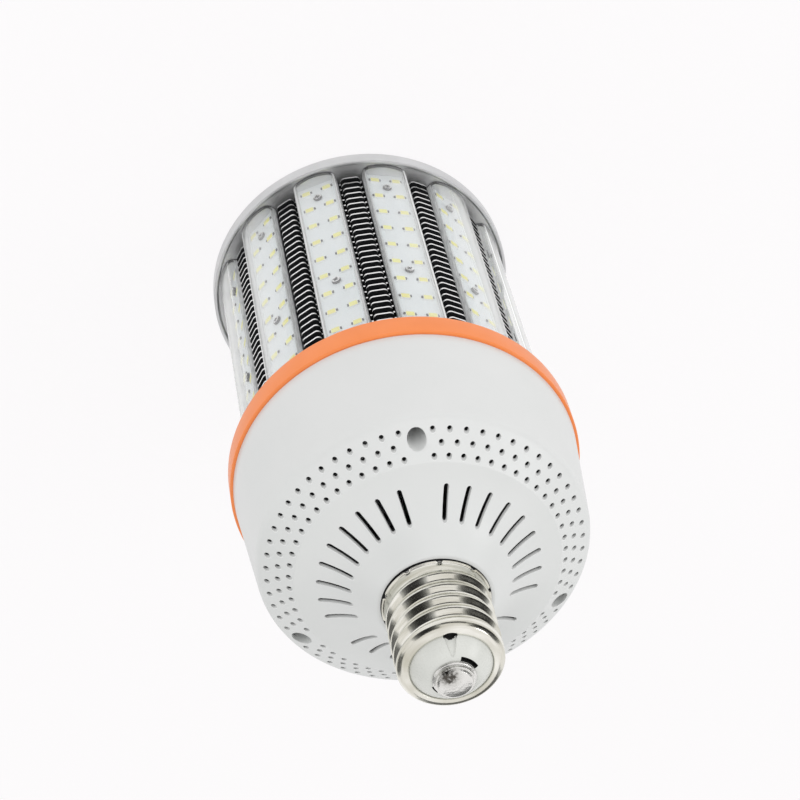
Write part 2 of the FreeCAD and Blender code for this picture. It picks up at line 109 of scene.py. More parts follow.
def fillet(corners, steps):
    """Outline of (x, y) or (x, y, radius) corners, rounded off where there is a radius."""
    result = []
    count = len(corners)
    for index, corner in enumerate(corners):
        here = np.array(corner[:2], float)
        if len(corner) < 3:
            result.append(here)
            continue
        radius = corner[2]
        before = np.array(corners[index - 1][:2], float) - here
        after = np.array(corners[(index + 1) % count][:2], float) - here
        before /= np.linalg.norm(before)
        after /= np.linalg.norm(after)
        angle = math.acos(max(-1.0, min(1.0, float(before @ after))))
        reach = radius / math.tan(angle / 2)
        middle = before + after
        centre = here + middle / np.linalg.norm(middle) * radius / math.sin(angle / 2)
        start = here + before * reach - centre
        finish = here + after * reach - centre
        turn = math.atan2(start[0] * finish[1] - start[1] * finish[0], float(start @ finish))
        for step in range(steps + 1):
            result.append(centre + np.array(spun(*start, turn * step / steps)))
    return result


def lathe(outline, segments):
    """Points and faces of an outline of (radius, height), a loop or from axis to axis, turned round."""
    points, faces, rows = [], [], []
    for radius, height in outline:
        if radius < ON_AXIS:
            rows.append([len(points)])
            points.append((0.0, 0.0, height))
            continue
        rows.append(list(range(len(points), len(points) + segments)))
        for step in range(segments):
            a = 2 * math.pi * step / segments
            points.append((radius * math.cos(a), radius * math.sin(a), height))
    for low, high in zip(rows, rows[1:] + rows[:1]):
        if len(low) == len(high) == 1:
            continue
        for step in range(segments):
            following = (step + 1) % segments
            if len(low) == 1:
                faces.append((low[0], high[following], high[step]))
            elif len(high) == 1:
                faces.append((low[step], low[following], high[0]))
            else:
                faces.append((low[step], low[following], high[following], high[step]))
    return points, faces


def quads(here, there, count):
    """Faces between two rings of points that begin at these indices."""
    pairs = [(k, (k + 1) % count) for k in range(count)]
    return [(here + k, here + n, there + n, there + k) for k, n in pairs]


def turned(points, angle):
    """Points turned about the axis by an angle in degrees."""
    return [(*spun(x, y, math.radians(angle)), z) for x, y, z in points]


# Materials: lengths are in metres, and the scale of a grain is per metre.

class Shading:
    """Nodes of a material or a world, with short ways to add to them."""

    def __init__(self, owner):
        owner.use_nodes = True
        self.nodes = owner.node_tree.nodes
        self.links = owner.node_tree.links

    def fill(self, node, inputs):
        """Sets a node's inputs, and links those that another node's output goes to."""
        for key, source in inputs.items():
            if isinstance(source, bpy.types.NodeSocket):
                self.links.new(source, node.inputs[key])
            else:
                node.inputs[key].default_value = source

    def add(self, kind, inputs=None, **settings):
        node = self.nodes.new("ShaderNode" + kind)
        for key, value in settings.items():
            setattr(node, key, value)
        self.fill(node, inputs or {})
        return node

    def shade(self, inputs):
        self.fill(self.nodes["Principled BSDF"], inputs)

    def noise(self, scale, detail=4.0, stretch=(1, 1, 1)):
        """Noise in the object's own space, so its grain keeps its real size."""
        place = self.add("TexCoord").outputs["Object"]
        spread = self.add("Mapping", {"Vector": place, "Scale": stretch}).outputs["Vector"]
        return self.add("TexNoise", {"Vector": spread, "Scale": scale, "Detail": detail}).outputs["Fac"]

    def ramp(self, source, *stops):
        """Colour ramp over a value; stops are (position, colour)."""
        block = self.add("ValToRGB", {"Fac": source})
        elements = block.color_ramp.elements
        while len(elements) < len(stops):
            elements.new(0.5)
        for element, (position, colour) in zip(elements, stops):
            element.position = position
            element.color = (*colour, 1.0)
        return block.outputs["Color"]

    def drift(self, source, dark, light):
        """Colour that drifts with a noise between two tones."""
        return self.ramp(source, (0.3, dark), (0.7, light))

    def span(self, source, low, high):
        """Value from 0 to 1 mapped to a range."""
        return self.add("MapRange", {"Value": source, "To Min": low, "To Max": high}).outputs["Result"]

    def compute(self, operation, *values):
        return self.add("Math", dict(enumerate(values)), operation=operation).outputs[0]

    def bump(self, source, strength, distance):
        inputs = {"Height": source, "Strength": strength, "Distance": distance}
        return self.add("Bump", inputs).outputs["Normal"]

    def slant(self):
        """0 where a surface faces the ray, 1 where it is seen edge on."""
        return self.add("LayerWeight", {"Blend": 0.5}).outputs["Facing"]


def new_material(name):
    materials[name] = bpy.data.materials.new(name)
    return Shading(materials[name])


def surface(name, dark, light, rough, grain=900.0, metallic=0.0, stretch=(1, 1, 1),
            relief=0.1, depth=0.00005, patch=60.0):
    """General finish: colour drifts between two tones, roughness and relief follow a grain."""
    shading = new_material(name)
    broad = shading.noise(patch, 3.0, stretch)
    fine = shading.noise(grain, 5.0, stretch)
    shading.shade({"Base Color": shading.drift(broad, dark, light),
                   "Roughness": shading.span(fine, *rough), "Metallic": metallic})
    if relief:
        shading.shade({"Normal": shading.bump(fine, relief, depth)})


def fin_material():
    """Plates whose flat faces are near black, a painted shade for the dark gaps between them, and whose
    cut edges are bare metal.
    """
    shading = new_material("fin_metal")
    normal = shading.add("NewGeometry").outputs["True Normal"]
    level = shading.compute("ABSOLUTE", shading.add("SeparateXYZ", {"Vector": normal}).outputs["Z"])
    edge, flat = 0.35, 0.6
    grain = shading.noise(700.0)
    shading.shade({
        # The flat faces take the painted shade.
        "Base Color": shading.ramp(level, (edge, (0.90, 0.90, 0.90)), (flat, (0.022, 0.023, 0.025))),
        "Metallic": shading.ramp(level, (edge, (1, 1, 1)), (flat, (0.2, 0.2, 0.2))),
        "Roughness": shading.span(grain, 0.16, 0.30),
        "Normal": shading.bump(grain, 0.08, 0.00004),
    })


COVER_IOR = 1.49


def clear_finish(shading, alpha, patch, dark, light):
    """Clear plastic with a slight drift of colour."""
    shading.shade({
        "Alpha": alpha,
        "Base Color": shading.drift(shading.noise(patch, 2.0), dark, light),
        "Roughness": shading.span(shading.noise(300.0), 0.06, 0.14),
        "IOR": COVER_IOR,
    })


def cover_material():
    """Clear moulding: more of it shows where it is seen at a slant."""
    shading = new_material("cover_clear")
    alpha = shading.span(shading.compute("POWER", shading.slant(), 2.7), 0.02, 0.88)
    clear_finish(shading, alpha, 40.0, (0.95, 0.955, 0.955), (0.975, 0.98, 0.98))


def cover_edge_material():
    """Round edges of the covers, which turn white at a slant, as a thick clear edge does."""
    shading = new_material("cover_edge")
    limits = {"From Min": 0.5, "From Max": 0.75, "To Min": 0.05, "To Max": 0.95}
    alpha = shading.add("MapRange", {"Value": shading.slant(), **limits}, interpolation_type="SMOOTHSTEP")
    clear_finish(shading, alpha.outputs["Result"], 90.0, (0.96, 0.965, 0.965), (0.985, 0.99, 0.99))


def cover_side_material():
    """Side walls of the covers, a darker grey streaked along their length: painted shade and painted dark
    reflection.
    """
    shading = new_material("cover_side_shade")
    streaks = shading.noise(1500.0, 4.0, (1, 1, 0.12))
    shading.shade({
        "Base Color": shading.ramp(streaks, (0.35, (0.62, 0.63, 0.635)), (0.62, (0.92, 0.93, 0.93))),
        "Roughness": shading.span(streaks, 0.12, 0.3),
        "Normal": shading.bump(streaks, 0.3, 0.0002),
        "Alpha": 0.82,
        "IOR": COVER_IOR,
    })


def contact_material():
    """Tinned metal, smooth but for a patch of solder lumps, darkened there as a painted dark reflection.
    """
    shading = new_material("contact_tin")
    place = shading.add("TexCoord").outputs["Object"]
    centre = tuple(c * MM for c in LUMP_CENTRE)
    away = shading.add("VectorMath", {0: place, 1: centre}, operation="DISTANCE").outputs["Value"]
    near = shading.add("MapRange", {"Value": away, "From Min": 0.0055, "From Max": 0.0012})
    grain = shading.noise(1100.0, 6.0)
    lumps_dark_reflection = shading.compute("MULTIPLY", near.outputs["Result"], grain)
    shading.shade({
        "Base Color": shading.ramp(lumps_dark_reflection, (0.0, (0.80, 0.80, 0.77)), (0.22, (0.66, 0.66, 0.63)),
                                   (0.46, (0.09, 0.085, 0.075))),
        "Roughness": shading.span(grain, 0.34, 0.16),
        "Metallic": 1.0,
        "Normal": shading.bump(grain, 0.35, 0.0004),
    })


surface("cap_metal", (0.64, 0.645, 0.65), (0.72, 0.725, 0.73), (0.36, 0.46), 1200.0, 0.75, relief=0.0)
surface("screw_steel", (0.82, 0.82, 0.83), (0.92, 0.92, 0.93), (0.22, 0.36), 1500.0, 1.0)
surface("rail_metal", (0.42, 0.42, 0.43), (0.82, 0.82, 0.83), (0.24, 0.42), 900.0, 1.0,
        stretch=(1, 1, 0.06), relief=0.15, patch=420.0)
surface("board_white", (0.725, 0.77, 0.79), (0.775, 0.815, 0.83), (0.3, 0.42), 1500.0,
        relief=0.04, patch=50.0)
surface("chip_white", (0.80, 0.81, 0.80), (0.88, 0.88, 0.86), (0.35, 0.5), 2500.0)
surface("chip_yellow", (0.85, 0.77, 0.19), (0.88, 0.88, 0.32), (0.25, 0.4), 2200.0, patch=110.0)
surface("dark_spots_and_shade", (0.025, 0.025, 0.027), (0.07, 0.07, 0.072), (0.3, 0.5), 2500.0)
surface("ring_orange", (0.93, 0.255, 0.058), (0.98, 0.285, 0.078), (0.30, 0.40), 1500.0, relief=0.06)
surface("housing_white", (0.735, 0.745, 0.738), (0.765, 0.77, 0.765), (0.32, 0.44), 1800.0,
        relief=0.08, patch=25.0)
# Painted shade, painted light and painted half shade for the insides of the housing's openings, its seat
# groove and its inner side.
surface("housing_shade", (0.020, 0.020, 0.021), (0.045, 0.045, 0.046), (0.5, 0.7))
surface("housing_lit", (0.92, 0.925, 0.92), (0.95, 0.955, 0.95), (0.4, 0.5), 1800.0)
surface("housing_wall", (0.65, 0.655, 0.65), (0.71, 0.715, 0.71), (0.4, 0.5), 1800.0)
surface("shell_nickel", (0.56, 0.545, 0.455), (0.90, 0.895, 0.83), (0.10, 0.20), 420.0, 1.0,
        stretch=(0.5, 0.5, 5), relief=0.10, depth=0.0001, patch=110.0)
surface("insulator_white", (0.69, 0.695, 0.66), (0.73, 0.735, 0.70), (0.22, 0.34), relief=0.05)
# Painted shade for the insulator's scoop and windows.
surface("notch_shade", (0.004, 0.004, 0.004), (0.012, 0.012, 0.012), (0.6, 0.8))
# Painted shade line where the covers meet the cap.
surface("cover_foot_shade", (0.05, 0.052, 0.055), (0.11, 0.112, 0.115), (0.2, 0.4))
surface("driver_green", (0.03, 0.16, 0.08), (0.05, 0.24, 0.12), (0.3, 0.5))
surface("transformer_dark", (0.03, 0.03, 0.03), (0.08, 0.07, 0.06), (0.5, 0.7))
surface("capacitor_dark", (0.02, 0.025, 0.05), (0.04, 0.05, 0.08), (0.25, 0.4))
surface("lead_red", (0.40, 0.02, 0.02), (0.55, 0.05, 0.04), (0.4, 0.6), 1200.0)
surface("lead_white", (0.68, 0.68, 0.66), (0.80, 0.80, 0.78), (0.4, 0.6), 1200.0)
fin_material()
cover_material()
cover_edge_material()
cover_side_material()
contact_material()

# The solids that stay take the finish of their slot.
for entry in frame["record"]["subparts"]:
    solid = frame["nodes"][entry["node"]]
    solid.data.materials.clear()
    solid.data.materials.append(materials[entry["material_slot"]])


# Driver housing: one skin with its air holes, slots and screw wells, on a grid that runs round the axis.
# Its outline is a line of (radius, height).

HOUSING_STEPS = 240
STEP = 2 * math.pi / HOUSING_STEPS
GRID_START = math.pi / 2
WALL = 2.2
PLATE_TOP = 135.5
PLATE_GAP = 0.1
FOOT_RADIUS = 66.0
FOOT_EDGE = ((FOOT_RADIUS, 143.0), (66.9, 143.22), (67.2, 143.35), (67.35, 143.7))
FOOT_INSIDE = (141.0, 143.0)
WALL_FOOT = (67.4, 143.2)
WALL_LEAN = 4.4
WALL_RISE = 46.6
WALL_TOP = 187.2
WALL_ROWS = 10
SHOULDER = (63.0, 189.8)
SHOULDER_ROUND = 5.0
SHOULDER_ROWS = 8
CONE_TOP = (50.0, 199.8)
CONE_RISE = 10.0
CONE_RUN = 13.0
HOLE_BANDS = (61.23, 57.37, 53.51, 50.0)
SWEEP_CENTRE = (56.778, 241.25)
SWEEP_RADIUS = 42.0
SWEEP_STATIONS = (47.5, 45.2, 43.2, 40.6, 37.3, 34.4, 31.6, 28.7, 27.0, 25.4, 24.0, 22.9)
SLOT_STATION = 2
NECK = ((21.95, 217.65), (21.5, 217.95), (20.4, 218.0), (20.32, 217.9), (20.3, 216.9), (19.5, 216.9),
        (19.4, 218.0), (17.2, 218.0), (17.2, 226.9))
NECK_INSIDE = ((20.0, 213.2), (19.0, 214.0), (18.6, 214.4), (18.3, 214.6), (18.0, 214.8), (17.5, 215.1),
               (17.0, 215.4), (16.5, 215.6), (15.0, 216.4), (15.0, 226.9))

# The seat of the screw shell's collar, a little wider on one side; the walls of its groove take the
# painted shade.
SEAT_EDGE = NECK[2:5]
SEAT_WALL = NECK[3:6]
SEAT_SHIFT = 0.38
SEAT_SIDE = math.radians(126.0)

# The part of the outline that openings are set into.
TOP_ABOVE = 188
TOP_BEYOND = 21.5

# Openings: rows of holes are (first grid row, radius, shift in grid steps).
BLOCK = 4
HOLE_ROWS = ((0, 59.3, 0), (4, 55.44, 2), (8, 51.58, 0))
HOLE_RADIUS = 1.08
HOLE_CORE = 0.74
# Depth at which a hole's wall turns from painted half shade to painted shade.
HOLE_LIT = 1.5
HOLE_DEPTH = 2.7
HOLE_SIDES = 16
SLOT_ROWS = 5
SLOT_STEPS = 8
SLOTS_TO_WELL = 10
SLOT_HALF = 0.96
SLOT_TAPER = 0.24
SLOT_INNER = 29.6
SLOT_OUTER = 42.1
# Depth at which a slot's wall turns from painted half shade to painted shade.
SLOT_LIT = 1.55
SLOT_DEPTH = 2.9
RIM_WIDTH = 0.08
RIM_DROP = 0.12
WELL_STEPS = (0, 80, 160)
WELL_CIRCLE = 55.9
WELL_MOUTH = 56.9
WELL_RADIUS = 3.5
WELL_FLOOR = 176.0
WELL_RIM = 0.2
WELL_RIM_DROP = 0.18
WELL_FILLET = 0.4
PILLAR_RADIUS = 5.2
PILLAR_DROP = 3.2

# Room that the grid leaves round a well: which side of the wall, how much, and how far down.
WELL_ROOM = ((False, 0.7, 0.0), (True, 1.2, 2.8))

# Kinds of face, in the order of the skin's materials: plain, painted shade, painted light and painted
# half shade (TAPER).
PLAIN, SHADE, LIT, TAPER = 0, 1, 2, 3


def sweep_height(radius):
    """Height of the hollow sweep from the shoulder to the neck."""
    return SWEEP_CENTRE[1] - math.sqrt(SWEEP_RADIUS ** 2 - (SWEEP_CENTRE[0] - radius) ** 2)


def cone_height(radius):
    """Height of the sloping shoulder that carries the holes."""
    return SHOULDER[1] + (SHOULDER[0] - radius) * CONE_RISE / CONE_RUN


def housing_stations():
    """Outline from the foot to the neck, and where the rows of holes and the slots begin."""
    line = [(FOOT_RADIUS, PLATE_TOP + PLATE_GAP), *FOOT_EDGE]
    start = FOOT_EDGE[-1][1]
    for step in range(1, WALL_ROWS + 1):
        level = start + (WALL_TOP - start) * step / WALL_ROWS
        line.append((WALL_FOOT[0] - WALL_LEAN * (level - WALL_FOOT[1]) / WALL_RISE, level))
    corner = fillet([WALL_FOOT, (*SHOULDER, SHOULDER_ROUND), CONE_TOP], SHOULDER_ROWS)[1:-1]
    line += [tuple(p) for p in corner]
    first_row = len(line)
    for outer, inner in zip(HOLE_BANDS, HOLE_BANDS[1:]):
        for step in range(BLOCK):
            radius = outer + (inner - outer) * step / BLOCK
            line.append((radius, cone_height(radius)))
    line.append(CONE_TOP)
    first_slot = len(line) + SLOT_STATION
    line += [(radius, sweep_height(radius)) for radius in SWEEP_STATIONS]
    return line + list(NECK), first_row, first_slot


def inner_line(line):
    """The same outline set in by the wall."""
    pts = np.array(line)
    ahead = np.roll(pts, -1, axis=0) - pts
    ahead[-1] = pts[-1] - pts[-2]
    behind = np.roll(ahead, 1, axis=0)
    behind[0] = ahead[0]
    along = ahead / np.linalg.norm(ahead, axis=1)[:, None]
    along += behind / np.linalg.norm(behind, axis=1)[:, None]
    along /= np.linalg.norm(along, axis=1)[:, None]
    inward = np.stack([-along[:, 1], along[:, 0]], axis=1)
    inside = pts + inward * WALL
    for row, level in enumerate((line[0][1], *FOOT_INSIDE)):
        inside[row] = (FOOT_RADIUS - WALL, level)
    inside[-len(NECK_INSIDE):] = NECK_INSIDE
    return [tuple(p) for p in inside]


class Skin:
    """Collects the points and faces of the outer and inner side of a wall with openings."""

    def __init__(self, line, inside):
        self.line = line
        self.points = []
        self.faces = []
        self.finish = []
        self.count = len(line) * HOUSING_STEPS
        self.shown = [True] * self.count
        for side in (line, inside):
            for radius, level in side:
                seat = side is line and (radius, level) in SEAT_EDGE
                for step in range(HOUSING_STEPS):
                    a = GRID_START + STEP * step
                    reach = radius
                    if seat:
                        reach += SEAT_SHIFT * max(0.0, math.cos(a - SEAT_SIDE)) ** 3
                    self.points.append((reach * math.cos(a), reach * math.sin(a), level))
        self.seat_shade_rows = [row for row, place in enumerate(line) if place in SEAT_WALL]
        falling = sorted((r, z) for r, z in line if z > TOP_ABOVE and r > TOP_BEYOND)
        self.radii, self.levels = zip(*falling)

    def at(self, row, step, inside=False):
        return row * HOUSING_STEPS + step % HOUSING_STEPS + (self.count if inside else 0)

    def height(self, x, y):
        return float(np.interp(math.hypot(x, y), self.radii, self.levels))

    def hide(self, row, rows, step, steps):
        """Leaves a block out of the grid."""
        for r in range(row, row + rows):
            for s in range(step, step + steps):
                self.shown[self.at(r, s)] = False

    def add(self, ring):
        first = len(self.points)
        self.points.extend(ring)
        return list(range(first, len(self.points)))

    def sunk(self, loop, drop=0.0):
        """Adds a loop in plan on the skin's top, or this far under it."""
        return self.add([(x, y, self.height(x, y) - drop) for x, y in loop])

    def face(self, corners, kind=PLAIN):
        self.faces.append(tuple(corners))
        self.finish.append(kind)

    def bridge(self, first, second, kind=PLAIN):
        count = len(first)
        for k in range(count):
            following = (k + 1) % count
            self.face((first[k], first[following], second[following], second[k]), kind)

    def opening(self, loop, edge, mouth, core, lit, depth):
        """Joins the outer grid to an opening's edge and runs its tapered wall to the inner grid."""
        outer = [self.at(r, s) for r, s in loop]
        inner = [self.at(r, s, True) for r, s in loop]
        rim = self.sunk(edge)
        lip = self.sunk(mouth, RIM_DROP)
        half = self.sunk(core, lit)
        back = self.sunk(core, depth)
        # The chamfer takes painted light, the upper wall painted half shade and the deeper wall painted
        # shade.
        self.bridge(rim, outer)
        self.bridge(lip, rim, LIT)
        self.bridge(half, lip, TAPER)
        self.bridge(back, half, SHADE)
        self.bridge(inner, back, SHADE)

    def grid(self):
        rows = len(self.line)
        for row in range(rows - 1):
            for step in range(HOUSING_STEPS):
                if not self.shown[self.at(row, step)]:
                    continue
                quad = [(row, step), (row, step + 1), (row + 1, step + 1), (row + 1, step)]
                self.face([self.at(r, s) for r, s in quad], SHADE if row in self.seat_shade_rows else PLAIN)
                # The inner side takes the painted shade.
                self.face([self.at(r, s, True) for r, s in reversed(quad)], SHADE)
        for row, flip in ((0, True), (rows - 1, False)):
            for step in range(HOUSING_STEPS):
                quad = [self.at(row, step), self.at(row, step + 1),
                        self.at(row, step + 1, True), self.at(row, step, True)]
                self.face(reversed(quad) if flip else quad)


def plan(radius, step, out, aside):
    """Point in plan, from a point on a circle, by distances outward and to the side."""
    return spun(radius + out, aside, GRID_START + STEP * step)


def arc(radius, step, size, start, turn, count):
    """Points in plan on an arc about a point on a circle; angles are in degrees from outward."""
    points = []
    for k in range(count):
        a = math.radians(start + turn * k)
        points.append(plan(radius, step, size * math.cos(a), size * math.sin(a)))
    return points


def walk(*corners):
    """Places on the grid along straight runs from corner to corner and back to the first."""
    places = []
    for (row, step), (to_row, to_step) in zip(corners, corners[1:] + corners[:1]):
        length = abs(to_row - row) + abs(to_step - step)
        for k in range(length):
            places.append((row + (to_row - row) * k // length, step + (to_step - step) * k // length))
    return places


def block(skin, row, rows, middle):
    """Takes a block out of the grid for an opening, and gives the places round it."""
    left, right = middle - BLOCK // 2, middle + BLOCK // 2
    skin.hide(row, rows, left, BLOCK)
    return walk((row, left), (row, right), (row + rows, right), (row + rows, left))


def air_hole(skin, row, middle, radius):
    sizes = (HOLE_RADIUS + RIM_WIDTH, HOLE_RADIUS, HOLE_CORE)
    circles = [arc(radius, middle, size, -45, 360 / HOLE_SIDES, HOLE_SIDES) for size in sizes]
    skin.opening(block(skin, row, BLOCK, middle), *circles, HOLE_LIT, HOLE_DEPTH)


def air_slot(skin, row, middle):
    loops = []
    radii = [skin.line[row + k][0] for k in range(1, SLOT_ROWS)]
    for grow in (RIM_WIDTH, 0.0, -SLOT_TAPER):
        half = SLOT_HALF + grow
        loop = arc(SLOT_OUTER - SLOT_HALF, middle, half, -90, 45, 5)
        loop += [plan(radius, middle, 0, half) for radius in radii]
        loop += arc(SLOT_INNER + SLOT_HALF, middle, half, 90, 45, 5)
        loop += [plan(radius, middle, 0, -half) for radius in reversed(radii)]
        loops.append(loop)
    skin.opening(block(skin, row, SLOT_ROWS, middle), *loops, SLOT_LIT, SLOT_DEPTH)


def screw_well(skin, row, middle):
    """Round well with a flat floor, in the room that four missing holes leave."""
    rows = [row + BLOCK * k for k in range(4)]
    narrow, wide = BLOCK // 2, BLOCK
    for first, half in zip(rows, (narrow, wide, narrow)):
        skin.hide(first, BLOCK, middle - half, 2 * half)
    right = [(0, narrow), (1, narrow), (1, wide), (2, wide), (2, narrow), (3, narrow)]
    corners = [(rows[k], middle + s) for k, s in right]
    corners += [(rows[k], middle - s) for k, s in reversed(right)]
    loop = walk(corners[-1], *corners[:-1])
    a = GRID_START + STEP * middle
    outward = np.array([math.cos(a), math.sin(a)])
    mouth = WELL_MOUTH * outward
    centre = WELL_CIRCLE * outward
    angles = []
    for r, s in loop:
        away = np.array(skin.points[skin.at(r, s)][:2]) - mouth
        angles.append(math.atan2(away[1], away[0]))
        for inside, room, drop in WELL_ROOM:
            index = skin.at(r, s, inside)
            away = np.array(skin.points[index][:2]) - mouth
            reach = float(np.linalg.norm(away))
            if reach < WELL_RADIUS + room:
                x, y = mouth + away / reach * (WELL_RADIUS + room)
                skin.points[index] = (x, y, skin.height(x, y) - drop)

    def circle(about, radius):
        return [(about[0] + radius * math.cos(t), about[1] + radius * math.sin(t)) for t in angles]

    def level_ring(radius, level):
        return skin.add([(x, y, level) for x, y in circle(centre, radius)])

    rim = skin.sunk(circle(mouth, WELL_RADIUS + WELL_RIM))
    lip = skin.sunk(circle(mouth, WELL_RADIUS), WELL_RIM_DROP)
    foot = level_ring(WELL_RADIUS, WELL_FLOOR + WELL_FILLET)
    floor_ring = level_ring(WELL_RADIUS - WELL_FILLET, WELL_FLOOR)
    skin.bridge(rim, [skin.at(r, s) for r, s in loop])
    skin.bridge(lip, rim)
    skin.bridge(foot, lip)
    skin.bridge(floor_ring, foot)
    skin.face(floor_ring)
    pillar_top = skin.sunk(circle(centre, PILLAR_RADIUS), PILLAR_DROP)
    pillar_foot = level_ring(PILLAR_RADIUS, PLATE_TOP + PLATE_GAP)
    skin.bridge([skin.at(r, s, True) for r, s in loop], pillar_top)
    skin.bridge(pillar_top, pillar_foot)
    skin.face(reversed(pillar_foot))


def driver_housing():
    line, first_row, first_slot = housing_stations()
    skin = Skin(line, inner_line(line))
    for row, radius, shift in HOLE_ROWS:
        for middle in range(shift, HOUSING_STEPS + shift, BLOCK):
            if min(apart(middle, well, HOUSING_STEPS) for well in WELL_STEPS) >= BLOCK:
                air_hole(skin, first_row + row, middle, radius)
    for slot in range(HOUSING_STEPS // SLOT_STEPS):
        if slot % SLOTS_TO_WELL:
            air_slot(skin, first_slot, SLOT_STEPS * slot)
    for well in WELL_STEPS:
        screw_well(skin, first_row, well)
    skin.grid()
    finishes = ["housing_white", "housing_shade", "housing_lit", "housing_wall"]
    piece("housing_skin", skin.points, skin.faces, finishes, 32.0, "driver_housing", skin.finish)


driver_housing()


# Turned pieces: end cap and trim ring.

CAP_OUTLINE = (
    (0.0, 2.0), (54.0, 2.0, 0.5), (56.0, 0.0, 0.5), (62.6, 0.0, 0.8), (63.8, 1.2, 0.8),
    (63.8, 7.2, 0.45), (62.5, 7.2, 0.4), (61.9, 6.0, 0.4), (0.0, 6.0),
)
RING_OUTLINE = ((66.2, 132.7, 0.3), (68.5, 132.7, 0.9), (68.5, 143.2, 0.6), (66.2, 143.2, 0.2))
EDGE_STEPS = 5

cap = lathe(fillet(CAP_OUTLINE, EDGE_STEPS), 224)
piece("cap_dish", *cap, ["cap_metal"], 30.0, "end_cap")
band = lathe(fillet(RING_OUTLINE, EDGE_STEPS), 240)
piece("ring_band", *band, ["ring_orange"], 30.0, "trim_ring")


# Fin plates: a tab with round corners in each gap, and a small step beside it that meets the covers.

PLATES = 30
PLATE_FIRST = 9.6
PLATE_PITCH = 4.15
PLATE_THICK = 0.8
PLATE_BORE = 12.0
RAIL_BACK = 51.0
RAIL_HALF = 9.5
TAB_STEP = 55.2
TAB_GAP = 0.1
TAB_TIP = 58.0
TAB_HALF = 4.1
TAB_CORNER = 1.8


def fin_outline():
    """Outline of a plate, from the tab of one gap turned round the axis."""
    half_gap = math.radians(STRIP_STEP / 2)
    root = RAIL_BACK * math.cos(half_gap) + RAIL_HALF * math.sin(half_gap)
    root_side = RAIL_BACK * math.sin(half_gap) - RAIL_HALF * math.cos(half_gap)
    step_side = root_side + (TAB_STEP - root) * math.tan(half_gap) - TAB_GAP
    tab = [(root, -root_side), (TAB_STEP, -step_side), (TAB_STEP, -TAB_HALF),
           (TAB_TIP, -TAB_HALF, TAB_CORNER), (TAB_TIP, TAB_HALF, TAB_CORNER),
           (TAB_STEP, TAB_HALF), (TAB_STEP, step_side), (root, root_side)]
    tab = fillet(tab, EDGE_STEPS)
    outline = []
    for index in range(STRIPS):
        outline += [spun(u, v, math.radians(strip_angle(index + 0.5))) for u, v in tab]
    return outline


def fin_plates():
    outline = fin_outline()
    count = len(outline)
    bore = [(PLATE_BORE * x / math.hypot(x, y), PLATE_BORE * y / math.hypot(x, y)) for x, y in outline]
    points, faces = [], []
    for plate in range(PLATES):
        low = PLATE_FIRST + PLATE_PITCH * plate
        high = low + PLATE_THICK
        first = len(points)
        for loop, level in ((bore, low), (outline, low), (outline, high), (bore, high)):
            points += [(x, y, level) for x, y in loop]
        for row in range(4):
            here = first + row * count
            there = first + (row + 1) % 4 * count
            for k in range(count):
                n = (k + 1) % count
                faces.append((here + n, here + k, there + k, there + n))
    piece("fin_plates", points, faces, ["fin_metal"], 30.0, "fin_stack")


fin_plates()


# Strip covers: domed clear channels with rounded edges.

COVER_SEAT = 55.0
COVER_GAP = 0.02
COVER_RISE = 6.5
COVER_HALF = 9.3
COVER_DOME = 20.0
COVER_CORNER = 3.0
COVER_WALL = 1.1
# The band between the first two levels is the foot, which takes the painted shade line.
COVER_LEVELS = (6.02, 6.5, 132.98)
CORNER_STEPS = 6
DOME_STEPS = 12

# Kinds of face, in the order of the covers' materials, and which faces they are, counted from a foot.
CLEAR, FOOT, SIDE, EDGE = 0, 1, 2, 3
SIDE_FACES = 1
EDGE_FACES = (3, 4, 5, 6)


def cover_arch(inset):
    """Section of a cover from foot to foot: round corners and an arched top."""
    centre = COVER_SEAT + COVER_RISE - COVER_DOME
    side = COVER_HALF - COVER_CORNER
    rise = math.sqrt((COVER_DOME - COVER_CORNER) ** 2 - side ** 2)
    swing = math.atan2(side, rise)
    corner = COVER_CORNER - inset
    dome = COVER_DOME - inset

    def bend(start, middle):
        turns = [start + (swing - math.pi / 2) * k / CORNER_STEPS for k in range(CORNER_STEPS + 1)]
        return [(centre + rise + corner * math.cos(a), middle + corner * math.sin(a)) for a in turns]

    turns = [swing * (1 - 2 * k / DOME_STEPS) for k in range(1, DOME_STEPS)]
    top = [(centre + dome * math.cos(a), dome * math.sin(a)) for a in turns]
    foot = COVER_SEAT + COVER_GAP
    return [(foot, COVER_HALF - inset), *bend(math.pi / 2, side), *top, *bend(-swing, -side),
            (foot, inset - COVER_HALF)]


def cover_shape():
    """Points and faces of a cover, and the kind of each face."""
    outer = cover_arch(0.0)
    inner = cover_arch(COVER_WALL)
    count = len(outer)
    last = count - 1
    points = []
    for level in COVER_LEVELS:
        points += [(x, y, level) for x, y in outer + inner]
    faces, finish = [], []
    for band in range(2):
        low = 2 * count * band
        top = low + 2 * count
        for k in range(last):
            faces.append((low + k + 1, low + k, top + k, top + k + 1))
            faces.append((low + count + k, low + count + k + 1, top + count + k + 1, top + count + k))
            from_foot = min(k, last - 1 - k)
            if band == 0:
                # The foot band takes the painted shade line.
                finish += [FOOT, FOOT]
            elif from_foot < SIDE_FACES:
                # The side walls take their painted shade.
                finish += [SIDE, SIDE]
            else:
                finish += [EDGE if from_foot in EDGE_FACES else CLEAR, CLEAR]
        faces.append((low, low + count, top + count, top))
        faces.append((low + count + last, low + last, top + last, top + count + last))
        finish += [FOOT if band == 0 else SIDE] * 2
    top = 4 * count
    for k in range(last):
        faces.append((k, k + 1, count + k + 1, count + k))
        faces.append((top + k + 1, top + k, top + count + k, top + count + k + 1))
        finish += [FOOT, CLEAR]
    return points, faces, finish


